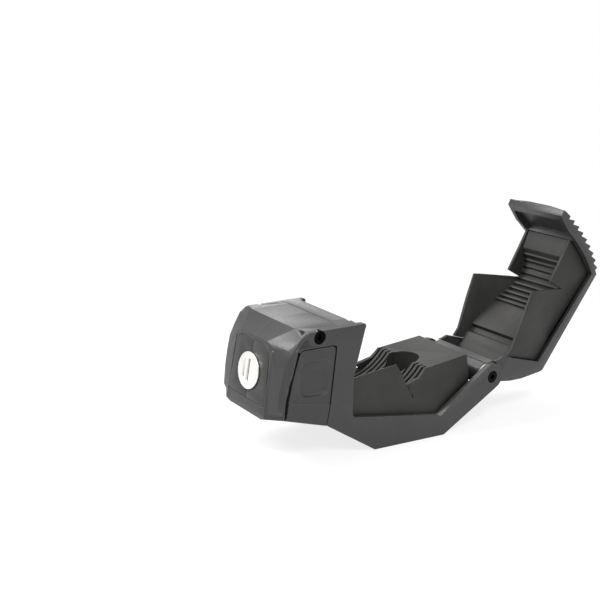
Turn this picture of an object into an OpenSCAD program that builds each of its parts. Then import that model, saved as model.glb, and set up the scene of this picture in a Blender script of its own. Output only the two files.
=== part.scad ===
// Tool holder for a roof rack: a ratcheting clam-shell clamp.
// A hinged lid with a toothed nose closes over a finned rubber cradle.
// The tool handle lies along Y. X runs from the head to the hinge.
// Z is up from the flat foot, and the origin is the centre of that foot.
// The lid is drawn open, leaning on its stop.

/* [Shells] */
// Width over the two half shells
body_w = 55; // [54:0.5:60]
// Wall of the head
wall = 2.6; // [2.2:0.1:2.8]
// Side wall of the trough
trough_t = 2.9; // [2.5:0.1:3.2]
// Floor under the lower jaw
floor_t = 3; // [2.6:0.1:3.6]
// Length of the flat foot
foot_len = 45.4; // [43:0.2:48]
// Height of the head at its rear edge
head_h = 67.4; // [67:0.2:70]
// Length of the head in front of the nose slot
head_len = 40; // [39.9:0.1:43]
// Lean of the front panel
lean = 6.6; // [5:0.1:8]
// Depth of the shallow bevel along the top of the head
top_bevel = 0.9; // [0.7:0.1:1.8]
// Half width of the flat front, between its slanted corners
front_hw = 17.2; // [17:0.2:18.6]
// Side clearance of the nose in its slot
slot_gap = 0.7; // [0.5:0.1:1.2]

/* [Hinge] */
// Hinge axis ahead of the foot centre
hinge_x = 54.2; // [53:0.2:56]
// Hinge axis above the foot
hinge_z = 27.3; // [26.5:0.1:28.5]
// Thickness of each hinge arm
arm_t = 3.9; // [3.4:0.1:4.4]
// Radius of the rounded arm end
arm_r = 7.2; // [6.8:0.1:7.6]
// Radius of the barrel of the lid
barrel_r = 6; // [5.6:0.1:6.3]
// Outer radius of the spacer tube
tube_r = 3.2; // [3:0.1:3.4]
// Radial play of the barrel on the tube
run_gap = 0.05; // [0.02:0.01:0.09]
// Thickness of the two hinge bushes
bush_t = 1.6; // [1.2:0.1:2]
// Opening angle of the lid
open_angle = 126; // [112:2:130]

/* [Ratchet] */
// Radius over the tooth tips, from the hinge
tooth_r = 97.5; // [97:0.1:98]
// Height of the teeth
tooth_h = 1.9; // [1.4:0.1:2.1]
// Angle between two teeth
tooth_pitch = 3.15; // [3:0.05:3.2]
// Number of teeth
tooth_n = 9; // [8:1:9]
// Thickness of the nose behind the teeth
nose_t = 3.6; // [3:0.1:4]
// Half width of the nose
nose_hw = 20.4; // [19:0.2:20.4]
// How much further out the nose reaches at its tip
nose_flare = 2; // [1:0.1:2.2]
// Clearance between meshing teeth
mesh_gap = 0.6; // [0.4:0.05:0.7]
// Teeth on the catch
catch_n = 2; // [1:1:2]
// Travel of the catch
catch_stroke = 2.7; // [2.5:0.1:3]
// Half width of the catch
catch_hw = 14.5; // [13.5:0.1:15]
// Sliding clearance of the catch
slide_gap = 0.4; // [0.35:0.05:0.5]

/* [Buttons] */
// Travel of each squeeze button
button_stroke = 3.2; // [3:0.1:3.4]
// Gap round the button
button_gap = 0.7; // [0.5:0.1:1]
// How far the button lies below the side of the head
button_inset = 0.4; // [0.2:0.1:0.8]
// Radius of the thumb recess
dimple_r = 8.8; // [8:0.1:9.2]
// Depth of the thumb recess at its front edge
dimple_d = 1.5; // [1:0.1:1.7]

/* [Lock] */
// Radius of the lock face
lock_r = 9.1; // [8.4:0.1:9.3]
// Length of the lock housing
lock_len = 15; // [14:0.1:15.4]
// Height of the lock axis
lock_z = 41.5; // [41:0.1:42]
// Half width of the front panel
panel_hw = 16; // [13:0.2:16.4]
// Height of the front panel
panel_h = 29.4; // [28:0.2:31]
// Thickness of the front panel
panel_t = 2; // [1.6:0.1:2.4]

/* [Jaws] */
// Gap between the lower jaw and the walls of the trough
jaw_gap = 0.3; // [0.2:0.05:0.6]
// Lean of the cheeks towards the middle
jaw_lean = 9.7; // [9.2:0.1:10.2]
// Thickness of the rubber cheeks
cheek_t = 1.5; // [1.3:0.1:1.7]
// Gap between overlapping cheeks
cheek_gap = 0.5; // [0.4:0.05:0.7]
// Half width of the open channel along the cradle
channel_hw = 6.3; // [5.6:0.1:6.6]
// Pitch of the cradle fins
fin_pitch = 3.1; // [2.9:0.1:3.1]
// Thickness of a cradle fin
fin_t = 1.7; // [1.5:0.1:1.9]
// Gaps between fins on each side of the channel
fin_n = 4; // [3:1:4]
// Radius of the bolt well
well_r = 8.8; // [8:0.1:9]
// Distance of the bolt ahead of the foot centre
bolt_x = 14; // [12:0.2:15]
// Radius of the mounting bolt hole
bolt_hole_r = 3.3; // [2.7:0.1:4.3]
// Depth of the gripping ridges
ridge_d = 1.4; // [1:0.1:1.8]

/* [Screws] */
// Radius of the screw head recesses
recess_r = 3.4; // [3.2:0.1:3.6]
// Radius of the screw heads
screw_head_r = 3; // [2.8:0.1:3.1]
// Radius of the screw shanks
screw_r = 1.6; // [1.4:0.1:1.8]
// Radial clearance of the screw shanks
screw_gap = 0.15; // [0.1:0.05:0.3]

/* [Hidden] */
hw = body_w / 2;
bay_hw = hw - wall;
jaw_hw = hw - trough_t - jaw_gap;
arm_in = hw - arm_t;
lid_hw = arm_in - 0.4;
barrel_hw = arm_in - bush_t - 0.3;
nose_x = hinge_x - tooth_r;
front_x = nose_x - head_len;
lean_dx = 34.8 * tan(lean);
panel_up = 1.2;
lock_x = front_x + (lock_z - 24) * tan(lean);
crown = 1.5;
crown_r = (nose_hw * nose_hw + crown * crown) / (2 * crown);
foot = foot_len / 2;
root_r = tooth_r - tooth_h;
tooth_0 = 157.6;
nose_in = root_r - nose_t;
nose_end = tooth_0 + tooth_pitch * tooth_n;
eps = 0.01;

// A point given from the hinge by radius and angle
function pol(r, a) = [hinge_x + r * cos(a), hinge_z + r * sin(a)];
// Radius over the teeth at angle a
function rim_r(a) = tooth_r + nose_flare * (a - tooth_0) / 28.35;
// Points on a circle from angle a to angle b
function arc(c, r, a, b, n = 12) = [for (i = [0 : n])
    let (t = a + (b - a) * i / n)
    c + r * [cos(t), sin(t)]];
// A point carried along with the head
function hd(x, z) = [front_x + 83.3 + x, z];
// A point carried along with the top of the head
function ht(x, z) = [front_x + 83.3 + x, head_h - 67.4 + z];

module slab(y0, y1) {
    translate([0, y1, 0])
        rotate([90, 0, 0])
            linear_extrude(y1 - y0)
                children();
}

module both() {
    children();
    mirror([0, 1, 0])
        children();
}

module rod_y(r, y0, y1, x, z, fn = 48) {
    translate([x, y1, z])
        rotate([90, 0, 0])
            cylinder(r = r, h = y1 - y0, $fn = fn);
}

module in_open_lid() {
    translate([hinge_x, 0, hinge_z])
        rotate([0, open_angle, 0])
            translate([-hinge_x, 0, -hinge_z])
                children();
}

module in_lock() {
    translate([lock_x, 0, lock_z])
        rotate([0, lean, 0])
            children();
}

// Coil spring along +X from the origin, swept from round sections
module coil(len, r, wire, turns) {
    n = 12 * turns;
    k = 6;
    pts = [for (i = [0 : n], j = [0 : k - 1])
        let (t = 360 * turns * i / n, c = 360 * j / k, q = r + wire * cos(c))
        [wire + (len - 2 * wire) * i / n + wire * sin(c), q * cos(t), q * sin(t)]];
    walls = [for (i = [0 : n - 1], j = [0 : k - 1])
        [i * k + j, i * k + (j + 1) % k, (i + 1) * k + (j + 1) % k, (i + 1) * k + j]];
    ends = [[for (j = [k - 1 : -1 : 0]) j], [for (j = [0 : k - 1]) n * k + j]];
    polyhedron(pts, concat(walls, ends), convexity = 6);
}

// Outlines seen from the side

arm_a = atan2(hinge_z, hinge_x - foot);
arm_d = norm([hinge_x - foot, hinge_z]);
arm_low = arm_a - asin(arm_r / arm_d);
rim_a = [hd(-36.4, 19.2)[0], 19.2];
rim_b = [foot - 4.2, 11.9];
rim_v = [hinge_x - rim_b[0], hinge_z - rim_b[1]];
rim_up = atan2(rim_v[1], rim_v[0]) + asin(arm_r / norm(rim_v));

module arm_outline() {
    polygon(concat(
        [[foot - 14, 0], [foot, 0]],
        arc([hinge_x, hinge_z], arm_r, arm_low - 90, rim_up + 90, 16),
        [rim_b]));
}

// Underside from the front of the head to the foot
under = [[front_x + 0.5, 21.5], hd(-76, 22.6), hd(-53.4, 17.8), [-foot, 0]];

module side_outline() {
    polygon(concat(
        under,
        [[foot, 0], rim_b, rim_a],
        [hd(-37.7, 20), hd(-38.4, 22.4), hd(-39.2, 39.9)],
        [ht(-34, 64), ht(-33, 66.4), ht(-33.5, 67.6)],
        [ht(-34.6, 67.5), ht(-70, 66.2), [front_x + lean_dx, 58.8], [front_x, 24]]));
    arm_outline();
}

// Outline of one squeeze button, grown by g
module button_outline(g = 0) {
    polygon([
        hd(-76.7 - g, 10), hd(-76.7 - g, 25), hd(-75.6 - g, 33), hd(-74.2 - g, 41.6), ht(-72.2 - g, 50),
        ht(-70.7 - g, 55.4 + g), ht(-69.8 - g, 56.6 + g), ht(-68.6, 57 + g),
        ht(-52.4, 57.4 + g), ht(-51 + g, 56.8 + g), ht(-50.6 + g, 55.4 + g),
        hd(-52.3 + g, 28.2), hd(-53.9 + g, 18), hd(-53.9 + g, 10)]);
}

// Where the flange behind the button window may reach
module flange_zone(g = 0) {
    polygon([hd(-74.6 - g, 28.8 - g), ht(-70.4 - g, 60 + g), ht(-40, 60 + g), hd(-40, 28.8 - g)]);
}

module under_head(lift) {
    polygon([[front_x - 5, 24 + lift], hd(-77.7, 24.2 + lift), hd(-53.4, 17.8 + lift),
        hd(-40, 10 + lift), hd(-40, 80), [front_x - 5, 80]]);
}

// Half shells

// Takes away all that lies beyond a plane through p, square to the given direction
module beyond(p, az, dip) {
    translate(p)
        rotate([0, dip, az])
            translate([0, -60, -60])
                cube([40, 120, 120]);
}

module head_cuts(g = 0) {
    // shallow bevel along the top of the side
    beyond([front_x + 12 + g, 17.7 - g, head_h - 1.15 - g], 90 + atan2(0.036 * (hw - 17.7), top_bevel),
        -90 + atan2(top_bevel, hw - 17.7));
    // slanted corner from the front to the side, with a facet over it
    beyond([front_x + g, front_hw, 24], 151.7, -6.8);
    beyond([front_x + 8.1 + g, 15.4, 61.1 - g], 158, -36);
    // the underside rises towards the sides
    intersection() {
        beyond([front_x + 5.6, hw, 24.3 + g], 129.9, 67.1);
        translate([front_x - 20, 0, 0])
            cube([hd(-53.4, 0)[0] - front_x + 20, hw + 5, 40]);
    }
}

module bay() {
    intersection() {
        slab(-eps, bay_hw)
            polygon([
                [front_x + wall + 0.3, 18], hd(-39, 8), hd(-37, 22), hd(-37.6, 40), ht(-37.9, 60),
                ht(-37.9, 64.4 + 0.5), ht(-68, 63.3), [front_x + wall + 0.3 + lean_dx, 58.4]]);
        slab(-1, hw)
            under_head(wall);
        // follows the slanted faces outside
        difference() {
            translate([front_x, -1, 0])
                cube([head_len + 20, hw + 1, 90]);
            head_cuts(wall);
        }
    }
}

module guides() {
    bx = nose_x - 19.2;
    inner = bay_hw - 1.7 - button_stroke - 0.4;
    // bulkhead behind the lock, a seat for the catch springs
    slab(0, inner)
        intersection() {
            polygon([[bx - 1.8, 10], [bx, 10], [bx, 70], [bx - 1.8, 70]]);
            side_outline();
        }
    // shelves over and under the catch
    for (z = [catch_lo - slide_gap - 2, catch_hi + slide_gap])
        slab(0, inner)
            translate([bx - eps, z])
                square([shelf_len, 2]);
    // lips beside the catch, clear of the plungers
    for (z = [catch_lo - slide_gap - eps, catch_hi + slide_gap - 2.2])
        slab(catch_hw + slide_gap, catch_hw + 2)
            translate([bx - eps, z])
                square([shelf_len, 2.2 + eps]);
    // wall that carries the button spring
    slab(spring_seat - 1.6, spring_seat)
        intersection() {
            translate([front_x + 1, lock_z - 12])
                square([bx - front_x - 1, 24]);
            side_outline();
        }
}

module half_shell() {
    difference() {
        union() {
            difference() {
                slab(0, hw)
                    side_outline();
                bay();
                // trough for the lower jaw, open between the arms
                slab(-1, hw - trough_t)
                    polygon([hd(-45, 80), [nose_x - 6, trough_z(nose_x - 6)], [-foot + 0.8, floor_t],
                        [foot - 0.7, floor_t], web_end, web_end + [0, -20],
                        [hinge_x + 20, -5], [hinge_x + 20, 80],
                        ht(-38, 80), ht(-38, 60), hd(-45, 60)]);
                slab(-1, arm_in)
                    polygon([[foot - 6, 14], [foot + 4, floor_t + 3.4], web_end, web_end + [0, -20],
                        [hinge_x + 20, -5],
                        [hinge_x + 20, 80], [foot - 6, 80]]);
                rod_y(barrel_r + 0.9, -1, arm_in, hinge_x, hinge_z, 64);
                // mouth of the nose slot, swept by the nose
                intersection() {
                    rod_y(tooth_r + nose_flare + crown + 0.8, -1, nose_hw + slot_gap, hinge_x, hinge_z, 128);
                    translate([nose_x - 12, -5, 40])
                        cube([40, 60, 50]);
                }
                // window for the button, through to the underside
                slab(bay_hw - 1.7 - button_stroke - 0.4, hw + 1)
                    button_outline(button_gap);
                slab(bay_hw - 1.7 - button_stroke - 0.4, bay_hw)
                    intersection() {
                        button_outline(button_gap + 1.4);
                        flange_zone(0.4);
                    }
            }
            guides();
            // boss of the head screw
            rod_y(screw_head_r + 0.6, 0, bay_hw + 0.2, head_screw[0], head_screw[1]);
        }
        head_cuts();
        // hole for the lock and the recess of the front panel
        in_lock() {
            translate([-2, 0, 0])
                rotate([0, 90, 0])
                    cylinder(r = lock_r + 0.3, h = wall + 6, $fn = 64);
            translate([-eps - 3, -eps, panel_up - panel_h / 2 - 0.3])
                cube([panel_t + 3 + eps, panel_hw + 0.3, panel_h + 0.6]);
        }
        // the bulkhead is open round the cam
        translate([nose_x - 25, 0, lock_z])
            rotate([0, 90, 0])
                cylinder(r = 9.4, h = 8, $fn = 64);
        rod_y(screw_r + screw_gap, -1, hw + 1, head_screw[0], head_screw[1]);
        rod_y(recess_r, hw - 2.6, hw + 1, head_screw[0], head_screw[1]);
        rod_y(screw_r + screw_gap, -1, hw + 1, hinge_x, hinge_z);
        rod_y(recess_r, hw - 2.2, hw + 1, hinge_x, hinge_z);
        translate([bolt_x, 0, -1])
            cylinder(r = bolt_hole_r + 1.8, h = floor_t + 2, $fn = 64);
    }
}

web_x = hinge_x - 1.7;
web_end = [web_x, (web_x - foot) * tan(arm_low) + 3.4];
head_screw = hd(-60.4, 62.6 + head_h - 67.4);
catch_lo = 26.4;
catch_hi = 38.3;
plunger_z = [29.4, 35.3];
spring_seat = lock_r + 4.2;
shelf_len = 17.5 - slot_gap - crown - nose_flare / 4;
function trough_z(x) = floor_t * 1.15 + (x + foot) * (17.8) / (hd(-53.4, 0)[0] + foot);

module near_shell() {
    color("#232425")
        mirror([0, 1, 0])
            half_shell();
}

module far_shell() {
    color("#232425")
        half_shell();
}

// Lock

module escutcheon() {
    color("#2a2b2c")
        in_lock()
            difference() {
                translate([0, -panel_hw, panel_up - panel_h / 2])
                    cube([panel_t, panel_hw * 2, panel_h]);
                translate([-1, 0, 0])
                    rotate([0, 90, 0])
                        cylinder(r = lock_r + 0.3, h = panel_t + 2, $fn = 64);
                // parting line on the centre of the panel
                translate([-1, -0.2, lock_r - 1])
                    cube([1.4, 0.4, panel_h]);
                translate([-1, -0.2, -lock_r - panel_h])
                    cube([1.4, 0.4, panel_h + 1]);
            }
}

module lock_housing() {
    color("#3a3b3d")
        in_lock()
            difference() {
                translate([0.4, 0, 0])
                    rotate([0, 90, 0])
                        cylinder(r = lock_r - 0.3, h = lock_len - 0.8, $fn = 64);
                translate([-1, 0, 0])
                    rotate([0, 90, 0])
                        cylinder(r = lock_r - 1.3 + run_gap, h = lock_len + 2, $fn = 64);
            }
}

module lock_barrel() {
    color("#d7d8d8")
        in_lock()
            difference() {
                union() {
                    translate([-0.9, 0, 0])
                        rotate([0, 90, 0])
                            cylinder(r = lock_r, h = 1, $fn = 64);
                    translate([-0.7, 0, 0])
                        rotate([0, 90, 0])
                            cylinder(r = lock_r - 1.3, h = lock_len - 0.5, $fn = 64);
                    translate([lock_len - 1.3, 0, 0])
                        rotate([0, 90, 0])
                            cylinder(r = 2.4, h = 2.6, $fn = 32);
                }
                // key slot with a shutter set back in it
                translate([-1.2, -1, -5.8])
                    cube([6, 2, 11.6]);
                // coin groove beside it
                translate([-1.2, 3.2, -4.6])
                    cube([1.1, 1.6, 9.2]);
                translate([lock_len - 4, 0, 0])
                    rotate([0, 90, 0])
                        cylinder(r = 1.1, h = 8, $fn = 24);
            }
}

module lock_shutter() {
    color("#8b8c8d")
        in_lock()
            translate([0.1, -0.9, -5.4])
                cube([1, 1.8, 10.8]);
}

module lock_cam() {
    color("#9a9b9c")
        in_lock()
            translate([lock_len - 1, 0, 0])
                rotate([0, 90, 0])
                    difference() {
                        intersection() {
                            cylinder(r = 7.4, h = 1.5, $fn = 64);
                            translate([-10, -3.1, -1])
                                cube([20, 6.2, 4]);
                        }
                        translate([0, 0, -1])
                            cylinder(r = 2.45, h = 4, $fn = 32);
                    }
}

module cam_screw() {
    color("#b5b6b7")
        in_lock()
            translate([lock_len - 3.6, 0, 0])
                rotate([0, 90, 0]) {
                    cylinder(r = 1.05, h = 5, $fn = 24);
                    translate([0, 0, 4.95])
                        cylinder(r = 3.4, h = 0.9, $fn = 32);
                }
}

// Catch and buttons

ramp = catch_stroke / button_stroke;
ramp_y = 13.6;
ramp_x = nose_x - 12.8;

module catch() {
    t0 = tooth_0 + tooth_pitch * 5;
    color("#4a4b4d")
        difference() {
            slab(-catch_hw, catch_hw)
                polygon(concat(
                    [[nose_x - 15.6, catch_lo], [nose_x - 15.6, catch_hi]],
                    [[pol(rim_r(t0) + mesh_gap, t0)[0] - 2.4, catch_hi],
                        pol(rim_r(t0) + mesh_gap + 0.6, t0 + 0.6)],
                    [for (k = [1 : catch_n]) let (a = t0 + tooth_pitch * k) each [
                        pol(rim_r(a) - tooth_h + mesh_gap + 0.2, a - 0.4),
                        pol(rim_r(a) + mesh_gap, a - 0.3)]],
                    [[pol(rim_r(181) + mesh_gap, 181)[0] - 0.2, catch_lo]]));
            // ramps that the plungers press
            both()
                translate([0, 0, plunger_z[0] - slide_gap])
                    linear_extrude(plunger_z[1] - plunger_z[0] + 2 * slide_gap)
                        polygon([
                            [ramp_x, ramp_y], [ramp_x - (catch_hw + 2 - ramp_y) * ramp, catch_hw + 2],
                            [ramp_x + 5.4 + catch_stroke + slide_gap, catch_hw + 2],
                            [ramp_x + 5.4 + catch_stroke + slide_gap, ramp_y - 6],
                            [ramp_x + 6 * ramp, ramp_y - 6]]);
        }
}

module button() {
    difference() {
        union() {
            // face plate, with the strip along its foot standing out
            slab(bay_hw + slide_gap, hw - button_inset)
                intersection() {
                    button_outline(0);
                    side_outline();
                }
            slab(bay_hw + slide_gap, hw)
                intersection() {
                    button_outline(0);
                    side_outline();
                    under_strip();
                }
            // flange behind the window
            slab(bay_hw - 1.7, bay_hw + slide_gap + eps)
                intersection() {
                    button_outline(0);
                    side_outline();
                }
            slab(bay_hw - 1.7, bay_hw - slide_gap)
                intersection() {
                    button_outline(button_gap + 0.9);
                    flange_zone();
                }
            // plunger with the ramp that draws the catch back
            translate([0, 0, plunger_z[0]])
                linear_extrude(plunger_z[1] - plunger_z[0])
                    polygon([
                        [ramp_x + slide_gap, ramp_y], [ramp_x + slide_gap, bay_hw - 1.6],
                        [ramp_x + 5.4, bay_hw - 1.6], [ramp_x + 5.4, ramp_y - 2.2],
                        [ramp_x + slide_gap + 2.2 * ramp, ramp_y - 2.2]]);
        }
        // thumb recess, deepest at its front edge
        translate([hd(-61.4, 0)[0], hw - button_inset, 42.6])
            rotate([-90, 0, 0])
                rotate([0, -atan2(dimple_d, 2 * dimple_r), 0])
                    translate([0, 0, -dimple_d / 2])
                        linear_extrude(6)
                            recess_outline();
        // the plate and flange keep clear of the slanted corner
        head_cuts();
    }
}

// Rounded square, twice dimple_r across
module recess_outline() {
    c = dimple_r - 4.6;
    square([dimple_r * 2, c * 2], center = true);
    square([c * 2, dimple_r * 2], center = true);
    for (x = [-c, c], y = [-c, c])
        translate([x, y])
            circle(r = 4.6, $fn = 48);
}

module under_strip() {
    polygon([hd(-90, 32.6), hd(-76.4, 32.2), hd(-53, 28.4), hd(-40, 26), hd(-40, 0), hd(-90, 0)]);
}

module near_button() {
    color("#2c2d2f")
        mirror([0, 1, 0])
            button();
}

module far_button() {
    color("#2c2d2f")
        button();
}

button_spring_x = nose_x - 26.5;

module button_spring() {
    color("#b9babb")
        translate([button_spring_x, spring_seat + 0.1, lock_z])
            rotate([0, 0, 90])
                coil(bay_hw - 1.7 - spring_seat - 0.2, 2.6, 0.35, 5);
}

module near_button_spring() {
    mirror([0, 1, 0])
        button_spring();
}

module far_button_spring() {
    button_spring();
}

module catch_spring() {
    color("#b9babb")
        translate([nose_x - 19.1, 10.6, (catch_lo + catch_hi) / 2])
            coil(3.4, 1.6, 0.3, 3);
}

module near_catch_spring() {
    mirror([0, 1, 0])
        catch_spring();
}

module far_catch_spring() {
    catch_spring();
}

// Screws, hinge tube, bushes

module screw(y_head, y_tip, p) {
    difference() {
        union() {
            rod_y(screw_r, y_tip, y_head - 2 + eps, p[0], p[1], 32);
            rod_y(screw_head_r, y_head - 2, y_head, p[0], p[1], 48);
        }
        rod_y(1.5, y_head - 1.2, y_head + 1, p[0], p[1], 6);
    }
}

module head_screw_near() {
    color("#1b1c1d")
        mirror([0, 1, 0])
            screw(hw - 0.6, -hw + 4.6, head_screw);
}

module head_nut() {
    color("#8d8e90")
        difference() {
            rod_y(screw_head_r, hw - 2.5, hw - 0.4, head_screw[0], head_screw[1], 6);
            rod_y(screw_r + 0.02, 0, hw + 1, head_screw[0], head_screw[1], 32);
        }
}

module hinge_screw() {
    screw(hw - 0.2, 8, [hinge_x, hinge_z]);
}

module near_hinge_screw() {
    color("#1b1c1d")
        mirror([0, 1, 0])
            hinge_screw();
}

module far_hinge_screw() {
    color("#1b1c1d")
        hinge_screw();
}

module hinge_tube() {
    color("#a9aaab")
        difference() {
            rod_y(tube_r, -arm_in + 0.05, arm_in - 0.05, hinge_x, hinge_z, 64);
            rod_y(screw_r + 0.02, -hw, hw, hinge_x, hinge_z, 32);
        }
}

module bush() {
    color("#9d9e9f")
        difference() {
            rod_y(barrel_r - 0.3, barrel_hw + 0.15, arm_in - 0.1, hinge_x, hinge_z, 64);
            rod_y(tube_r + run_gap, 0, hw, hinge_x, hinge_z, 64);
        }
}

module near_bush() {
    mirror([0, 1, 0])
        bush();
}

module far_bush() {
    bush();
}

module bolt_bush() {
    color("#a3a4a5")
        translate([bolt_x, 0, 0])
            difference() {
                union() {
                    cylinder(r = bolt_hole_r + 1.7, h = floor_t + 0.1, $fn = 64);
                    translate([0, 0, floor_t + 0.05])
                        cylinder(r = min(well_r - 0.6, bolt_hole_r + 4), h = 1.2, $fn = 64);
                }
                translate([0, 0, -1])
                    cylinder(r = bolt_hole_r, h = floor_t + 4, $fn = 64);
            }
}

// Lower jaw

cradle_c = [-15, 56];
cradle_r = 34.4;
block_l = 12.8;
block_r = 41.5;
lean_k = tan(jaw_lean);
lid_cheek = jaw_hw - 0.45;
inner_cheek = 16.9;
plate_in = jaw_hw - 2;
block_hw = lid_cheek - cheek_t - cheek_gap;
fold_z = 26;
nose_in_x = hinge_x - nose_in;
function plateau(x) = 35.4 + (x - block_l) * 0.132;

// Prism along X, w wide on each side at a height of 25, leaning inwards
module leaning(w, z0 = -1, z1 = 75) {
    translate([-70, 0, 0])
        rotate([90, 0, 90])
            linear_extrude(140)
                polygon([[-w + (z0 - 25) * lean_k, z0], [w - (z0 - 25) * lean_k, z0],
                    [w - (z1 - 25) * lean_k, z1],
                    [-w + (z1 - 25) * lean_k, z1]]);
}

module jaw_floor_outline(x0) {
    polygon([[x0, trough_z(x0) + 0.4], [-foot + 0.9, floor_t], [foot - 0.8, floor_t],
        [block_r - 3, (block_r - 3 - foot) * tan(arm_low) + 4], [block_r + 1.4, 27.5],
        [block_r, plateau(block_r)],
        [block_l, plateau(block_l)], [block_l, 80], [x0, 80]]);
}

slit_foot = [4, 21.2];
slit_top = [-1.6, 28.2];
plate_top = [-9, 41.3];

module lower_jaw() {
    color("#57585a")
        difference() {
            union() {
                // block under the plateau, its sides folded at mid height
                difference() {
                    intersection() {
                        slab(-jaw_hw, jaw_hw)
                            jaw_floor_outline(nose_in_x + 0.7);
                        translate([-70, 0, 0])
                            rotate([90, 0, 90])
                                linear_extrude(140)
                                    polygon([[-jaw_hw, -1], [jaw_hw, -1], [jaw_hw, 13],
                                        [block_hw - (fold_z - 25) * lean_k, fold_z],
                                        [block_hw - 20 * lean_k, 45],
                                        [-block_hw + 20 * lean_k, 45],
                                        [-block_hw + (fold_z - 25) * lean_k, fold_z],
                                        [-jaw_hw, 13]]);
                    }
                    // cradle, with a low wall kept outside the fins
                    slab(-18.7, 18.7)
                        translate(cradle_c)
                            circle(r = cradle_r, $fn = 128);
                    slab(-hw, hw)
                        difference() {
                            translate(cradle_c)
                                circle(r = cradle_r, $fn = 128);
                            polygon([slit_foot, slit_top, [block_l + 1, 32.3], [block_l + 1, 10]]);
                        }
                }
                // foot of the cheek in front of the slit
                intersection() {
                    slab(-jaw_hw, jaw_hw)
                        jaw_floor_outline(nose_in_x + 0.7);
                    slab(-jaw_hw, jaw_hw)
                        difference() {
                            polygon([[-60, 0], [-60, 50], plate_top, slit_foot, [slit_foot[0], 0]]);
                            translate(cradle_c)
                                circle(r = cradle_r, $fn = 128);
                        }
                }
                // cheeks in front of the slit, outside those of the lid
                both()
                    intersection() {
                        slab(16, jaw_hw)
                            intersection() {
                                jaw_floor_outline(nose_x + 4.7);
                                polygon([[-60, 0], [-60, 37], [-36, 38], plate_top,
                                    slit_foot, [slit_foot[0], 0]]);
                            }
                        difference() {
                            leaning(jaw_hw + 1.2);
                            translate([-80, -plate_in, -5])
                                cube([160, plate_in * 2, 90]);
                        }
                    }
            }
            // bolt well, open towards the head
            translate([bolt_x, 0, -1])
                cylinder(r = well_r, h = 60, $fn = 96);
            translate([-70, -channel_hw, 9])
                cube([70 + bolt_x, channel_hw * 2, 60]);
            // gaps between the fins
            both()
                for (i = [0 : fin_n - 1])
                    translate([nose_in_x + 2.5, channel_hw + fin_t + i * fin_pitch, 14])
                        cube([block_l + 2.6 - nose_in_x - 2.5, fin_pitch - fin_t, 60]);
        }
}

// Lid and upper jaw, drawn closed and turned open

lid_a = [30, 69.3];
lid_b = pol(tooth_r - 1.5, 155.6);
module lid_outline() {
    polygon(concat(
        [lid_a + [1.6, -0.9], lid_a, lid_b],
        [for (k = [0 : tooth_n - 1]) let (a = tooth_0 + tooth_pitch * k) each [
            pol(rim_r(a) - tooth_h, a - 0.02), pol(rim_r(a) - 0.3, a + 0.1), pol(rim_r(a), a + 0.4),
            pol(rim_r(a) - tooth_h, a + tooth_pitch - 0.05)]],
        [pol(rim_r(nose_end), nose_end), pol(rim_r(nose_end) - 0.5, nose_end + 0.6)],
        [pol(root_r, nose_end + 0.4)],
        arc([hinge_x, hinge_z], nose_in, 179.4, 177.4, 2),
        [pol(nose_in - 1.7, 182.1), [44.3, 28.6]],
        [[hinge_x - barrel_r + 0.5, 24.6], [hinge_x, 24.6], [hinge_x + barrel_r + 0.2, hinge_z + 1.3],
         [51.9, 40.1], [48.2, 47.2], [42.7, 55.4]]));
}

module lid_sides() {
    // the sides of the lid lean in towards its top
    translate([-60, 0, 0])
        rotate([90, 0, 90])
            linear_extrude(130)
                polygon([[-lid_hw, 15], [lid_hw, 15], [lid_hw, 36], [18.9, 67.4], [17.4, 75],
                    [-17.4, 75], [-18.9, 67.4], [-lid_hw, 36]]);
}

module lid_inside(g = 0) {
    polygon([
        [29 + g, 66.8 + g], pol(nose_in + 0.5 + g, 156.4), pol(nose_in - 0.6 + g, 162),
        pol(nose_in - 0.6 + g, 168), pol(nose_in - 0.6 + g, 174), pol(nose_in - 0.6 + g, 180),
        pol(nose_in - 3.5, 184.7), [41.6, 20],
        [hinge_x - barrel_r - 1.2 + g, 30], [47.6 + g, 39.8], [44.2 + g, 46.4], [39 + g, 54.6]]);
}

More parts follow.
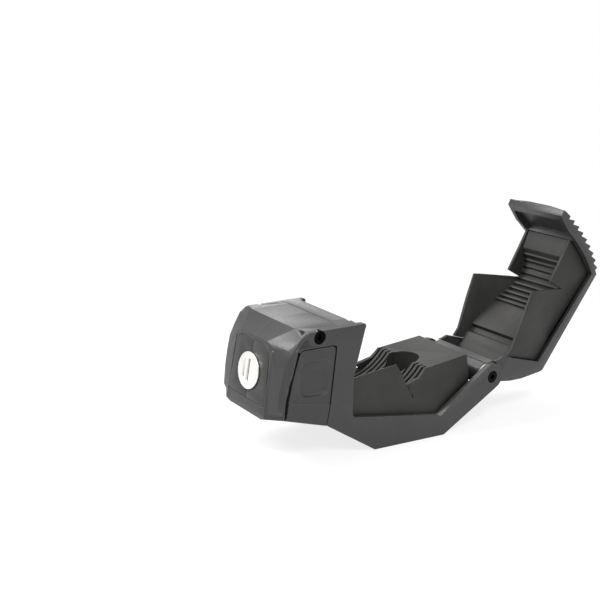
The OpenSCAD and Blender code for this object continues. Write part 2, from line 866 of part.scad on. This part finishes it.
module lid() {
    color("#232425")
        in_open_lid()
            difference() {
                union() {
                    intersection() {
                        slab(-hw, hw)
                            lid_outline();
                        lid_sides();
                        translate([-60, -nose_hw, 0])
                            cube([60, nose_hw * 2, 80]);
                    }
                    intersection() {
                        slab(-hw, hw)
                            lid_outline();
                        lid_sides();
                        translate([-0.1, -hw, 0])
                            cube([80, body_w, 80]);
                    }
                    // crowned tip of the nose
                    intersection() {
                        slab(-nose_hw, nose_hw)
                            polygon([pol(root_r, 182.4), pol(rim_r(182.4) + crown - 0.2, 182.6),
                                pol(rim_r(nose_end) + crown, nose_end - 1.6),
                                pol(rim_r(nose_end) + crown - 0.3, nose_end - 0.6),
                                pol(root_r + 0.6, nose_end - 0.2)]);
                        translate([hinge_x - rim_r(nose_end) * cos(6) - crown + crown_r, 0, 0])
                            cylinder(r = crown_r, h = 60, $fn = 256);
                    }
                    rod_y(barrel_r, -barrel_hw, barrel_hw, hinge_x, hinge_z, 64);
                }
                // hollow of the lid
                intersection() {
                    slab(-lid_hw + 1.6, lid_hw - 1.6)
                        lid_inside(0);
                    leaning(lid_cheek);
                }
                // side windows that show the rubber cheeks
                slab(-hw, hw)
                    polygon([[28.8, 61.6], pol(nose_in + 0.4, 157.3),
                        pol(nose_in, 160), pol(nose_in, 166), pol(nose_in, 172),
                        pol(nose_in, 178), pol(nose_in - 1.5, 184.6), [44.3, 20], [44.3, 28.6], [40.8, 31]]);
                // pocket inside the nose
                slab(-nose_hw + 2.4, nose_hw - 2.4)
                    polygon(concat(
                        [for (a = [174 : 2 : 184]) pol(rim_r(a) - tooth_h - 1.3, a)],
                        [pol(nose_in - 4, 184), pol(nose_in - 4, 174)]));
                rod_y(tube_r + run_gap, -hw, hw, hinge_x, hinge_z, 64);
                // the arms and bushes stand beside the barrel
                both()
                    difference() {
                        rod_y(arm_r + 1.2, barrel_hw, hw, hinge_x, hinge_z, 64);
                        rod_y(0.5, 0, 0.1, hinge_x, hinge_z, 16);
                    }
            }
}

// Underside of the upper jaw: a flat lip, a ridged hollow and a flat land
hollow = [[-26.6, 39.2], [-24.6, 43.6], [-22.4, 46.6], [-19.4, 49], [-15.8, 50.2], [-12, 50.6], [-8.2, 50.4],
    [-4.6, 49.6], [-1, 48.6], [2.4, 47.6], [5.6, 46.6], [8.8, 45.6]];

// All that lies inside the outer faces of the cheeks, less t
module in_cheeks(t) {
    difference() {
        leaning(lid_cheek - t);
        both()
            beyond([-13.2, 16.5 - t, 50], 96.6, -13.2);
        translate([-100, -40, 0])
            cube([89.1, 80, 90]);
    }
    slab(-inner_cheek + t, inner_cheek - t)
        polygon([[-60, 20], [-60, 80], [30, 80], [30, 62], [12, 56], [-10.8, 43], [-10.8, 20]]);
}

module upper_jaw() {
    color("#57585a")
        in_open_lid() {
            // body with the ridged hollow
            intersection() {
                in_cheeks(cheek_t - 0.1);
                slab(-lid_hw + 1.6, lid_hw - 1.6)
                    difference() {
                        intersection() {
                            lid_inside(0);
                            translate([-60, 34])
                                square([120, 60]);
                        }
                        polygon(concat(
                            [[-60, 30], [-60, 36.4], [-38, 36.4]],
                            [hollow[0]],
                            [for (i = [1 : len(hollow) - 2]) each [hollow[i] + [-0.6, -ridge_d],
                                hollow[i] + [0.6, -ridge_d], hollow[i] + [0.8, 0.2]]],
                            [hollow[len(hollow) - 1]],
                            [[26.5, 40.4], [27.4, 43], [30.6, 43], [31.6, 40.6], [42, 40.8],
                                [60, 40.8], [60, 30]]));
                    }
            }
            // cheeks: narrow beside the nose, flared where they pass outside the lower jaw
            difference() {
                intersection() {
                    in_cheeks(0);
                    slab(-lid_hw, lid_hw)
                        polygon([pol(nose_in - 0.4, 174.6), [-11, 39.7], [-12.8, 50.6], [2.8, 24.2],
                            [33.6, 34.6], [39, 34.6],
                            [28.6, 61.2], pol(nose_in + 0.2, 157.4), pol(nose_in - 0.6, 160),
                            pol(nose_in - 0.6, 166), pol(nose_in - 0.6, 172)]);
                }
                in_cheeks(cheek_t);
            }
        }
}

near_shell();
far_shell();
escutcheon();
lock_housing();
lock_barrel();
lock_shutter();
lock_cam();
cam_screw();
near_button();
far_button();
near_button_spring();
far_button_spring();
catch();
near_catch_spring();
far_catch_spring();
head_screw_near();  // head_screw
head_nut();
hinge_tube();
near_hinge_screw();
far_hinge_screw();
near_bush();
far_bush();
bolt_bush();
lower_jaw();
upper_jaw();
lid();
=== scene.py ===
import math
import bmesh
import bpy
from mathutils import Matrix, Vector


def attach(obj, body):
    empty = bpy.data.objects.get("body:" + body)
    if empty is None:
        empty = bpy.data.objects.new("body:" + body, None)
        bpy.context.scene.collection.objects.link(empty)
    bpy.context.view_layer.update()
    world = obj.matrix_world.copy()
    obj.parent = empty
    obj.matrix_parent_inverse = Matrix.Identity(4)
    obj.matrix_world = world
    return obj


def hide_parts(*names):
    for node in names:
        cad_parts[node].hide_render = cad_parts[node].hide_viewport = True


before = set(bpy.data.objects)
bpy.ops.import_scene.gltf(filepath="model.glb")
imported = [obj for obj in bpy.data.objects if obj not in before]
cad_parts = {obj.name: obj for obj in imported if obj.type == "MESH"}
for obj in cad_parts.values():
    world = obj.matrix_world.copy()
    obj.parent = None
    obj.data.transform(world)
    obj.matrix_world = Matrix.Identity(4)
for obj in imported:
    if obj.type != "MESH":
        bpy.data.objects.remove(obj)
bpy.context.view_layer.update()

# STUDIO
# A white paper floor in a white room, with softboxes overhead, behind, over the camera and at the left.
# The camera stands in front of the head at its near side, a little above the clamp.
def flat_colour(hex_text):
    # sRGB hex to linear
    out = []
    for i in (0, 2, 4):
        c = int(hex_text[i:i + 2], 16) / 255
        out.append(c / 12.92 if c <= 0.04045 else ((c + 0.055) / 1.055) ** 2.4)
    return (*out, 1.0)


def add(tree, kind, props=None, **sockets):
    # one node, with its settings, and its sockets either linked or set
    node = tree.nodes.new(kind)
    for key, value in (props or {}).items():
        setattr(node, key, value)
    for key, value in sockets.items():
        socket = node.inputs[int(key[1:])] if key[0] == "_" else node.inputs[key.replace("_", " ")]
        if isinstance(value, bpy.types.NodeSocket):
            tree.links.new(value, socket)
        else:
            socket.default_value = value
    return node


def empty_material(name):
    # a new material without nodes, and its tree
    mat = bpy.data.materials.new(name)
    mat.use_nodes = True
    mat.node_tree.nodes.clear()
    return mat, mat.node_tree


def seen_directly(tree):
    # 1 for what the camera sees straight, reflected or through a clear piece, and 0 for thrown light
    rays = add(tree, "ShaderNodeLightPath").outputs
    either = add(tree, "ShaderNodeMath", {"operation": "MAXIMUM"}, _0=rays["Is Camera Ray"],
                 _1=rays["Is Glossy Ray"])
    return add(tree, "ShaderNodeMath", {"operation": "MAXIMUM"}, _0=either.outputs[0],
               _1=rays["Is Transmission Ray"]).outputs[0]


def softbox(name, place, aim, width, depth, watts):
    bpy.ops.object.light_add(type="AREA", location=place)
    lamp = bpy.context.object
    lamp.name = name
    lamp.data.shape = "RECTANGLE"
    lamp.data.size = width
    lamp.data.size_y = depth
    lamp.data.energy = watts
    lamp.rotation_euler = (Vector(aim) - Vector(place)).to_track_quat("-Z", "Y").to_euler()


bpy.ops.mesh.primitive_plane_add(size=6.0, location=(0, 0, -0.0002))
floor = bpy.context.object
floor.name = "paper_floor"
paper, tree = empty_material("white_paper")
shown = seen_directly(tree)
matt = add(tree, "ShaderNodeBsdfDiffuse", Color=flat_colour("ffffff"))
glow = add(tree, "ShaderNodeEmission", Color=(1, 1, 1, 1), Strength=1.0)
# near the clamp the paper keeps some of its shade, and from 0.42 m away it is plain white
place = add(tree, "ShaderNodeTexCoord").outputs["Object"]
away = add(tree, "ShaderNodeVectorMath", {"operation": "LENGTH"}, _0=place)
fade = add(tree, "ShaderNodeMapRange", {"interpolation_type": "SMOOTHSTEP"}, _0=away.outputs["Value"],
           _1=0.12, _2=0.42, _3=0.80, _4=1.0)
share = add(tree, "ShaderNodeMath", {"operation": "MULTIPLY"}, _0=shown, _1=fade.outputs[0])
sheet = add(tree, "ShaderNodeMixShader", Fac=share.outputs[0], _1=matt.outputs[0], _2=glow.outputs[0])
add(tree, "ShaderNodeOutputMaterial", Surface=sheet.outputs[0])
floor.data.materials.append(paper)

world = bpy.data.worlds.new("studio")
bpy.context.scene.world = world
world.use_nodes = True
tree = world.node_tree
tree.nodes.clear()
shown = seen_directly(tree)
dim = add(tree, "ShaderNodeBackground", Color=flat_colour("f2f4f6"), Strength=0.5)
white = add(tree, "ShaderNodeBackground", Color=(1, 1, 1, 1), Strength=1.0)
walls = add(tree, "ShaderNodeMixShader", Fac=shown, _1=dim.outputs[0], _2=white.outputs[0])
add(tree, "ShaderNodeOutputWorld", Surface=walls.outputs[0])

softbox("overhead_softbox", (0.15, 0.45, 0.95), (0.0, 0.0, 0.04), 0.9, 0.7, 6.5)
softbox("back_softbox", (0.66, 0.98, 0.27), (0.0, 0.0, 0.05), 0.9, 0.26, 3.2)
softbox("edge_softbox", (-0.36, -0.74, 0.92), (0.0, 0.0, 0.04), 0.30, 0.30, 10.0)
softbox("left_softbox", (-0.78, 0.39, 0.84), (-0.05, 0.0, 0.05), 0.42, 0.42, 14.0)

# black cards left of the camera and high behind keep the corners and the slopes of the head dark
felt, tree = empty_material("black_felt")
nap = add(tree, "ShaderNodeBsdfDiffuse", Color=flat_colour("080808"))
add(tree, "ShaderNodeOutputMaterial", Surface=nap.outputs[0])


def black_card(name, place, width, height):
    bpy.ops.mesh.primitive_plane_add(size=1.0)
    card = bpy.context.object
    card.name = name
    card.scale = (width, height, 1.0)
    card.rotation_euler = (Vector((0, 0, 0.04)) - Vector(place)).to_track_quat("-Z", "Y").to_euler()
    card.location = place
    bpy.ops.object.transform_apply(location=True, rotation=True, scale=True)
    card.data.materials.append(felt)
    card.visible_camera = False
    card.visible_diffuse = False
    card.visible_shadow = False


black_card("left_card", (-0.42, -0.15, 0.10), 0.42, 0.32)
black_card("back_card", (0.16, 0.80, 0.56), 1.5, 0.46)

eye = Vector((-0.3347, -0.4087, 0.1988))
bpy.ops.object.camera_add(location=eye)
camera = bpy.context.object
camera.name = "photo_camera"
ahead = Vector((0.5489, 0.7992, -0.2448)).normalized()
right = Vector((0.8305, -0.5546, 0.0517))
right = (right - ahead * right.dot(ahead)).normalized()
up = right.cross(ahead)
camera.matrix_world = Matrix((
    (right.x, up.x, -ahead.x, eye.x),
    (right.y, up.y, -ahead.y, eye.y),
    (right.z, up.z, -ahead.z, eye.z),
    (0, 0, 0, 1)))
camera.data.lens = 63.0
camera.data.sensor_width = 36.0
camera.data.clip_start = 0.01
bpy.context.scene.camera = camera
bpy.context.scene.view_settings.view_transform = "Standard"


# HALF SHELLS
# Two mirrored halves of glass-filled nylon, injection moulded, black with a fine spark-eroded grain.
# They meet on the centre plane and carry the lock, the catch, the buttons and the hinge.
# Every outer edge is broken by a small moulded radius, larger on the corners of the head.
def only(obj):
    bpy.ops.object.select_all(action="DESELECT")
    obj.select_set(True)
    bpy.context.view_layer.objects.active = obj


def pick_edges(obj, test, least=28.0):
    # selects the sharp edges that pass a test on their middle, direction and two normals
    bm = bmesh.from_edit_mesh(obj.data)
    bm.normal_update()
    count = 0
    for face in bm.faces:
        face.select_set(False)
    for e in bm.edges:
        e.select_set(False)
    for e in bm.edges:
        if len(e.link_faces) != 2:
            continue
        if math.degrees(e.calc_face_angle(0.0)) < least:
            continue
        a, b = e.verts[0].co, e.verts[1].co
        if test((a + b) / 2, (b - a), e):
            e.select_set(True)
            count += 1
    bm.select_flush_mode()
    bmesh.update_edit_mesh(obj.data)
    return count


def round_edges(obj, rounds, smooth=32.0):
    # each round is a radius, its steps, the least angle of an edge, and a test of its place
    only(obj)
    bpy.ops.object.mode_set(mode="EDIT")
    bpy.ops.mesh.select_all(action="SELECT")
    bpy.ops.mesh.remove_doubles(threshold=0.00002)
    bpy.ops.mesh.dissolve_limited(angle_limit=math.radians(0.7))
    bpy.ops.mesh.select_mode(type="EDGE")
    for width, steps, least, test in rounds:
        if pick_edges(obj, test, least):
            bpy.ops.mesh.bevel(offset=width, segments=steps, affect="EDGES", clamp_overlap=True)
    bpy.ops.object.mode_set(mode="OBJECT")
    bpy.ops.object.shade_smooth_by_angle(angle=math.radians(smooth))


def solid(node):
    # the solid of a node, as the frame brings it
    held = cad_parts[node]
    return bpy.data.objects[held] if isinstance(held, str) else held


def dressed(node, name, rounds, smooth=32.0):
    # a merged copy of a solid, whose edges are rounded where rounds are given
    obj = bpy.data.objects.new(name, solid(node).data.copy())
    bpy.context.scene.collection.objects.link(obj)
    obj.data.materials.clear()
    round_edges(obj, rounds, smooth)
    return obj


def finish_piece(obj, body, slot, material, *nodes):
    obj.data.materials.clear()
    obj.data.materials.append(material)
    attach(obj, body)
    if nodes:
        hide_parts(*nodes)


def moulded(name, dark, light, grain_mm, rough, depth_mm, radius_mm=0.35, specular=0.5):
    # moulded plastic: grain as bump, faint cloudy variation, and a painted highlight that makes the
    # rounded edges lighter grey
    mat, t = empty_material(name)
    place = add(t, "ShaderNodeTexCoord").outputs["Object"]
    cloud = add(t, "ShaderNodeTexNoise", Vector=place, Scale=1000 / 22.0, Detail=3.0, Roughness=0.6)
    fine = add(t, "ShaderNodeTexNoise", Vector=place, Scale=1000 / grain_mm, Detail=2.0, Roughness=0.55)
    soft = add(t, "ShaderNodeBevel", {"samples": 6}, Radius=radius_mm / 1000)
    geo = add(t, "ShaderNodeNewGeometry")
    turn = add(t, "ShaderNodeVectorMath", {"operation": "DOT_PRODUCT"}, _0=soft.outputs[0],
               _1=geo.outputs["Normal"])
    edge = add(t, "ShaderNodeMapRange", _0=turn.outputs["Value"], _1=0.995, _2=0.86, _3=0.0, _4=1.0)
    tone = add(t, "ShaderNodeMapRange", _0=cloud.outputs[0], _1=0.35, _2=0.65, _3=0.0, _4=0.6)
    body = add(t, "ShaderNodeMix", {"data_type": "RGBA"}, _0=tone.outputs[0], _6=flat_colour(dark),
               _7=flat_colour(light))
    # painted highlight: the rounded edges are mixed 35 % of the way towards light grey 77756f
    edge_highlight_share = add(t, "ShaderNodeMath", {"operation": "MULTIPLY"}, _0=edge.outputs[0], _1=0.35)
    edge_highlighted = add(t, "ShaderNodeMix", {"data_type": "RGBA"}, _0=edge_highlight_share.outputs[0], _6=body.outputs[2],
                 _7=flat_colour("77756f"))
    gloss = add(t, "ShaderNodeMapRange", _0=fine.outputs[0], _1=0.3, _2=0.7, _3=rough - 0.05,
                _4=rough + 0.07)
    bump = add(t, "ShaderNodeBump", Strength=0.35, Distance=depth_mm / 1000, Height=fine.outputs[0],
               Normal=soft.outputs[0])
    skin = add(t, "ShaderNodeBsdfPrincipled", Base_Color=edge_highlighted.outputs[2], Roughness=gloss.outputs[0],
               Normal=bump.outputs[0], IOR=1.5, Specular_IOR_Level=specular)
    add(t, "ShaderNodeOutputMaterial", Surface=skin.outputs[0])
    return mat


# 0.9 mm grain: the real spark-eroded grain is about 0.2 mm, too fine to show
shell_nylon = moulded("black_moulded_nylon", "252525", "2c2b2a", 0.9, 0.44, 0.05)


seam = 0.0004
head_middle = Vector((-0.055, 0, 0.042))


def off_seam(mid, run, e):
    # not on the plane where the two halves meet
    return abs(mid.y) > seam


def head_corner(mid, run, e):
    # long outer edges round the head, in front of the button window and over it
    if abs(mid.y) < seam or run.length < 0.004:
        return False
    out = mid.x < -0.0745 or mid.z > 0.0605
    return out and mid.x < -0.034 and outer(e)


def outer(e):
    # on the flank of the head, or facing out and well away from its middle
    facing = e.link_faces[0].normal + e.link_faces[1].normal
    mid = (e.verts[0].co + e.verts[1].co) / 2
    reach = mid - head_middle
    return abs(mid.y) > 0.0272 or (facing.dot(reach) > 0 and reach.length > 0.026)


def hull(name, points):
    # a convex block drawn round a set of corners, given in millimetres
    mesh = bpy.data.meshes.new(name)
    mesh.from_pydata([Vector(p) / 1000 for p in points], [], [])
    obj = bpy.data.objects.new(name, mesh)
    bpy.context.scene.collection.objects.link(obj)
    only(obj)
    bpy.ops.object.mode_set(mode="EDIT")
    bpy.ops.mesh.select_all(action="SELECT")
    bpy.ops.mesh.convex_hull()
    bpy.ops.mesh.select_all(action="SELECT")
    bpy.ops.mesh.normals_make_consistent(inside=False)
    bpy.ops.object.mode_set(mode="OBJECT")
    return obj


def join_by(obj, tool, how):
    # joins, cuts or keeps what is common with a tool block, which is then thrown away
    only(obj)
    mod = obj.modifiers.new("shape", "BOOLEAN")
    mod.operation = how
    mod.solver = "EXACT"
    mod.object = tool
    bpy.ops.object.modifier_apply(modifier="shape")
    bpy.data.objects.remove(tool)


def prism(name, outline, low, high):
    # an outline in x and z, drawn out across the clamp
    return hull(name, [(x, y, z) for x, z in outline for y in (low, high)])


def front_x(z):
    # the leaning front plane of the head, in millimetres
    foot_x, foot_z, lean_share = -83.34, 24, 0.1157
    return foot_x + lean_share * (z - foot_z)


def panel_outline(grow=0.0):
    # across and up, with small lower corners and round upper corners
    pts = [(0, 28.2 - grow), (15.4, 28.2 - grow), (16.4 + grow, 29.4), (16.2 + grow, 34.0),
           (15.2 + grow, 46.0)]
    corner_y, corner_z, corner_r = 9.6, 52.2, 4.6 + grow
    for degrees in range(0, 91, 15):
        a = math.radians(degrees)
        pts.append((corner_y + corner_r * math.cos(a), corner_z + corner_r * math.sin(a)))
    pts.append((0, 57.0 + grow))
    return pts


for node, side in (("near_shell", -1), ("far_shell", 1)):
    # corners of the block round the head's front: along the clamp, out from its centre, and up
    corner = [
        (-70.0, 0, 66.22), (-70.0, 20.3, 66.22), (-68.1, 24.9, 66.2), (-67.9, 27.4, 65.2),
        (front_x(58.9), 0, 58.9), (front_x(58.9), 11.5, 58.9), (-70.4, 24.3, 63.7), (-78.8, 16.8, 56.8),
        (-71.4, 27.4, 62.6), (-76.1, 24.8, 57.3), (front_x(45.8) + 0.9, 19.4, 45.8),
        (front_x(36.0) + 1.4, 21.6, 36.0), (front_x(26.8) + 1.9, 23.3, 26.8), (-77.6, 25.9, 51.8),
        (-79.2, 25.4, 44.0), (-80.1, 25.1, 37.0), (-80.6, 24.9, 27.4), (front_x(24.4), 0, 24.4),
        (front_x(24.4), 13.0, 24.4), (front_x(56.0), 13.4, 56.0), (-82.6, 0, 21.7), (-81.6, 12.5, 21.9),
        (-80.6, 18.5, 22.8), (-79.0, 22.0, 23.6), (-77.6, 25.4, 24.2), (-76.4, 27.5, 36.0),
        (-73.6, 27.5, 50.0), (-71.0, 27.5, 59.0), (-76.6, 27.2, 26.0), (-68.0, 0, 60.0),
        (-68.0, 24.9, 60.0), (-74.0, 0, 22.6), (-74.0, 20.0, 22.9)]
    block = hull("corner_block", [(x, side * y, z) for x, y, z in corner])
    inside = prism("inside", [(front_x(26.0) + 2.6, 26.0), (-68, 22.0), (-64, 54.0),
                              (front_x(54.0) + 2.6, 54.0)], side * -1.0, side * 20.0)
    join_by(block, inside, "DIFFERENCE")
    window = prism("window", [(-72.5, 57.3), (-76.0, 41.6), (-77.5, 33.0), (-78.6, 23.5), (-60, 20),
                              (-60, 57.3)], side * 18.0, side * 29.0)
    join_by(block, window, "DIFFERENCE")
    piece = dressed(node, node + "_moulding", [])
    join_by(piece, block, "UNION")
    gap = prism("gap", [(-72.2, 57.0), (-75.7, 41.6), (-77.1, 33.0), (-78.2, 22.0), (-77.0, 22.0),
                        (-71.2, 56.9)], side * 25.0, side * 30.0)
    join_by(piece, gap, "DIFFERENCE")
    lid_line = hull("lid_line", [(x, side * y, z) for x in (-48.5, -43.0) for y, z in (
        (0.0, 67.13), (17.9, 67.13), (24.8, 66.52), (24.8, 64.2), (0.0, 64.9))])
    join_by(piece, lid_line, "UNION")
    # the hinge arm has a broad slanted band along its upper edge, and the horn a rounded tip
    band = hull("band", [(x, side * y, z) for x, z, y in (
        (17.6, 12.0, 25.4), (17.6, 12.0, 30.0), (46.8, 37.3, 25.4), (46.8, 37.3, 30.0),
        (19.6, 10.6, 27.6), (19.6, 10.6, 30.0), (48.6, 35.5, 27.6), (48.6, 35.5, 30.0))])
    join_by(piece, band, "DIFFERENCE")
    for tip_line in ([(-36.0, 67.4), (-32.0, 68.2), (-32.8, 65.9)],
                     [(-34.2, 67.0), (-32.0, 66.0), (-32.6, 63.2)]):
        join_by(piece, prism("tip", tip_line, side * 24.0, side * 29.0), "DIFFERENCE")
    pocket = hull("pocket", [(front_x(z) + dx, side * y, z) for y,
                             z in panel_outline(0.22) for dx in (-3.0, 2.0)]
                  + [(front_x(z) + dx, -side * 3.0, z) for z in (27.98, 57.22) for dx in (-3.0, 2.0)])
    join_by(piece, pocket, "DIFFERENCE")
    round_edges(piece, [
        (0.0009, 3, 13.0, head_corner),
        (0.0004, 2, 28.0, off_seam)])
    finish_piece(piece, "base", "shell_plastic", shell_nylon, node)


# FRONT PANEL AND LOCK
# A satin panel snapped into the leaning front of the head, parted on its centre, holds a push lock:
# a zinc housing, a turned steel face with its key slot and coin groove, a shutter, a cam and its screw.
panel_nylon = moulded("satin_moulded_nylon", "202020", "252525", 1.1, 0.42, 0.03)
lock_centre = (-0.081275, 0.0, 0.0415)
hinge_centre = (0.0542, 0.0, 0.0273)
front_lean = math.radians(6.6)
quarter_turn = math.radians(90)
outline = [(y, z) for y, z in panel_outline()] + [(-y, z) for y, z in panel_outline() if y > 0]
piece = hull("front_panel", [(front_x(z) + dx, y, z) for y, z in outline for dx in (0.0, 1.9)])
bpy.ops.mesh.primitive_cylinder_add(vertices=72, radius=0.0093, depth=0.02, location=lock_centre,
                                    rotation=(0, quarter_turn + front_lean, 0))
join_by(piece, bpy.context.object, "DIFFERENCE")
groove = hull("groove", [
    (front_x(z) + dx, y, z) for y in (-0.14, 0.14) for z in (26, 60) for dx in (-1.0, 0.5)])
join_by(piece, groove, "DIFFERENCE")
round_edges(piece, [
    (0.00025, 2, 28.0, lambda mid, run, e: mid.x < front_x(mid.z * 1000) / 1000 + 0.0003)])
finish_piece(piece, "base", "trim_plastic", panel_nylon, "escutcheon")


def turned_metal(name, tone, rough, ring_mm, centre, tilt, scratch=0.25):
    # lathe-turned metal: fine rings about the axis, with a brushed variation in gloss
    mat, t = empty_material(name)
    place = add(t, "ShaderNodeTexCoord").outputs["Object"]
    seat = add(t, "ShaderNodeMapping", {"vector_type": "TEXTURE"}, Vector=place, Location=centre,
               Rotation=tilt)
    rings = add(t, "ShaderNodeTexWave", {"wave_type": "RINGS", "rings_direction": "X"},
                Vector=seat.outputs[0], Scale=1000 / ring_mm / 20, Distortion=0.6, Detail=2.0,
                Detail_Scale=2.0)
    cloud = add(t, "ShaderNodeTexNoise", Vector=place, Scale=1000 / 3.0, Detail=4.0)
    gloss = add(t, "ShaderNodeMapRange", _0=cloud.outputs[0], _1=0.3, _2=0.7, _3=rough - 0.06,
                _4=rough + 0.08)
    bump = add(t, "ShaderNodeBump", Strength=scratch, Distance=0.00002, Height=rings.outputs[1])
    skin = add(t, "ShaderNodeBsdfPrincipled", Base_Color=flat_colour(tone), Metallic=1.0,
               Roughness=gloss.outputs[0], Normal=bump.outputs[0])
    add(t, "ShaderNodeOutputMaterial", Surface=skin.outputs[0])
    return mat


along_lock = (lock_centre, (0, front_lean, 0))
along_hinge = (hinge_centre, (0, 0, quarter_turn))
bright_steel = turned_metal("satin_chromed_steel", "f1efeb", 0.34, 0.35, *along_lock)
grey_zinc = turned_metal("die_cast_zinc", "8f8f8e", 0.45, 0.5, *along_lock, 0.1)
plated_steel = turned_metal("zinc_plated_steel", "b4b3ad", 0.36, 0.3, *along_hinge, 0.15)
blackened = turned_metal("black_oxide_steel", "0e0e0f", 0.42, 0.3, *along_hinge, 0.1)
spring_wire = turned_metal("drawn_spring_steel", "6b6b6c", 0.36, 0.2, (0, 0, 0), (0, 0, 0), 0.05)

piece = dressed("lock_barrel", "lock_face_and_plug", [
    (0.00022, 2, 28.0, lambda mid, run, e: mid.x < -0.078)])
finish_piece(piece, "lock_cylinder", "lock_face", bright_steel, "lock_barrel")


def carry_over(node, material):
    # shows a solid as it is, in the given material
    piece = solid(node)
    piece.data.materials.clear()
    piece.data.materials.append(material)


for node in ("lock_housing", "lock_shutter", "lock_cam"):
    carry_over(node, grey_zinc)
carry_over("cam_screw", plated_steel)


# SQUEEZE BUTTONS
# One on each side of the head: satin nylon with a shallow thumb recess and a thicker strip along its foot.
# Each rides in its window on a coil spring and pushes a ramp on the catch.
button_nylon = moulded("button_nylon", "232323", "292828", 1.0, 0.44, 0.03)
for node, side in (("near_button", -1), ("far_button", 1)):
    piece = dressed(node, node + "_moulding", [])
    # the thumb recess: flat bottomed, with a steep foot and a long slope at its front and top
    rim = [(-69.0, 46.6), (-67.6, 49.0), (-65.0, 50.4), (-54.8, 49.6), (-53.4, 48.0), (-52.6, 36.0),
           (-54.0, 33.8), (-64.6, 32.6), (-67.6, 33.8), (-69.6, 37.0)]
    floor_line = [(-65.6, 45.6), (-64.8, 46.8), (-63.6, 47.4), (-56.6, 46.8), (-55.8, 46.0), (-55.2, 36.6),
                  (-56.2, 35.4), (-64.2, 34.6), (-66.0, 35.4), (-66.8, 38.0)]
    scoop = hull("scoop", [(x, side * 27.9, z) for x, z in rim]
                 + [(x, side * 26.1, z) for x, z in floor_line])
    join_by(piece, scoop, "DIFFERENCE")
    round_edges(piece, [(0.0006, 3, 24.0, lambda mid, run, e: abs(mid.y) > 0.0245)])
    finish_piece(piece, node, "button_plastic", button_nylon, node)
    carry_over(node + "_spring", spring_wire)

# CATCH
# A toothed slider of acetal behind the nose slot, pushed forward by two small springs.
catch_acetal = moulded("grey_acetal", "47474a", "505053", 1.4, 0.38, 0.02)
carry_over("catch", catch_acetal)
carry_over("near_catch_spring", spring_wire)
carry_over("far_catch_spring", spring_wire)

# SCREWS, HINGE TUBE AND BUSHES
# Black socket screws sunk in the shells, a plated nut, a plated tube as the hinge pin,
# and grey acetal bushes beside the barrel of the lid and under the mounting bolt.
for node in ("head_screw", "near_hinge_screw", "far_hinge_screw"):
    carry_over(node, blackened)
carry_over("head_nut", plated_steel)
carry_over("hinge_tube", plated_steel)
bush_acetal = moulded("pale_grey_acetal", "8f9091", "9a9b9c", 1.2, 0.4, 0.02)
for node in ("near_bush", "far_bush", "bolt_bush"):
    carry_over(node, bush_acetal)


# LOWER JAW
# Moulded thermoplastic rubber: a block with a flat land, a bolt well, and two banks of flexible fins
# between cheeks. Dull, slightly chalky, with painted shade darkening the fins and other hollows.
def rubber(name, dark, light, rough):
    mat, t = empty_material(name)
    place = add(t, "ShaderNodeTexCoord").outputs["Object"]
    bloom = add(t, "ShaderNodeTexNoise", Vector=place, Scale=1000 / 16.0, Detail=5.0, Roughness=0.65)
    fine = add(t, "ShaderNodeTexNoise", Vector=place, Scale=1000 / 0.8, Detail=2.0, Roughness=0.6)
    soft = add(t, "ShaderNodeBevel", {"samples": 6}, Radius=0.0004)
    tone = add(t, "ShaderNodeMapRange", _0=bloom.outputs[0], _1=0.35, _2=0.68, _3=0.0, _4=1.0)
    body = add(t, "ShaderNodeMix", {"data_type": "RGBA"}, _0=tone.outputs[0], _6=flat_colour(dark),
               _7=flat_colour(light))
    # painted shade: ambient occlusion mixes the colour towards near-black 0b0b0a between the fins and in
    # other hollows
    hollow_occlusion = add(t, "ShaderNodeAmbientOcclusion", {"samples": 8}, Distance=0.007)
    painted_shade_share = add(t, "ShaderNodeMapRange", _0=hollow_occlusion.outputs["AO"], _1=0.35, _2=0.8, _3=0.0, _4=1.0)
    body = add(t, "ShaderNodeMix", {"data_type": "RGBA"}, _0=painted_shade_share.outputs[0], _6=flat_colour("0b0b0a"),
               _7=body.outputs[2])
    gloss = add(t, "ShaderNodeMapRange", _0=fine.outputs[0], _1=0.3, _2=0.7, _3=rough - 0.05,
                _4=rough + 0.06)
    bump = add(t, "ShaderNodeBump", Strength=0.3, Distance=0.00004, Height=fine.outputs[0],
               Normal=soft.outputs[0])
    skin = add(t, "ShaderNodeBsdfPrincipled", Base_Color=body.outputs[2], Roughness=gloss.outputs[0],
               Normal=bump.outputs[0], IOR=1.5, Specular_IOR_Level=0.4)
    add(t, "ShaderNodeOutputMaterial", Surface=skin.outputs[0])
    return mat


jaw_rubber = rubber("moulded_rubber", "1c1b1a", "252422", 0.58)
piece = dressed("lower_jaw", "lower_jaw_moulding", [])
for side in (-1, 1):
    slit = prism("slit", [(-4.6, 33.4), (-0.4, 33.2), (2.8, 21.6)], side * 21.0, side * 25.5)
    join_by(piece, slit, "DIFFERENCE")
round_edges(piece, [(0.0003, 2, 28.0, lambda mid, run, e: mid.z > 0.012)])
finish_piece(piece, "base", "jaw_rubber", jaw_rubber, "lower_jaw")

# LID AND UPPER JAW
# The lid is one nylon moulding: hinge barrel, ribbed web, side rims and the toothed nose.
# The rubber upper jaw is pressed into it, with ridges across the hollow and cheeks down both sides.
piece = dressed("lid", "lid_moulding", [
    (0.0010, 3, 40.0, lambda mid, run, e: abs(mid.y) > 0.0262 and run.length > 0.006),
    (0.0004, 2, 28.0, lambda mid, run, e: True)])
finish_piece(piece, "lid", "shell_plastic", shell_nylon, "lid")
piece = dressed("upper_jaw", "upper_jaw_moulding", [(0.0003, 2, 28.0, lambda mid, run, e: True)])
finish_piece(piece, "lid", "jaw_rubber", jaw_rubber, "upper_jaw")
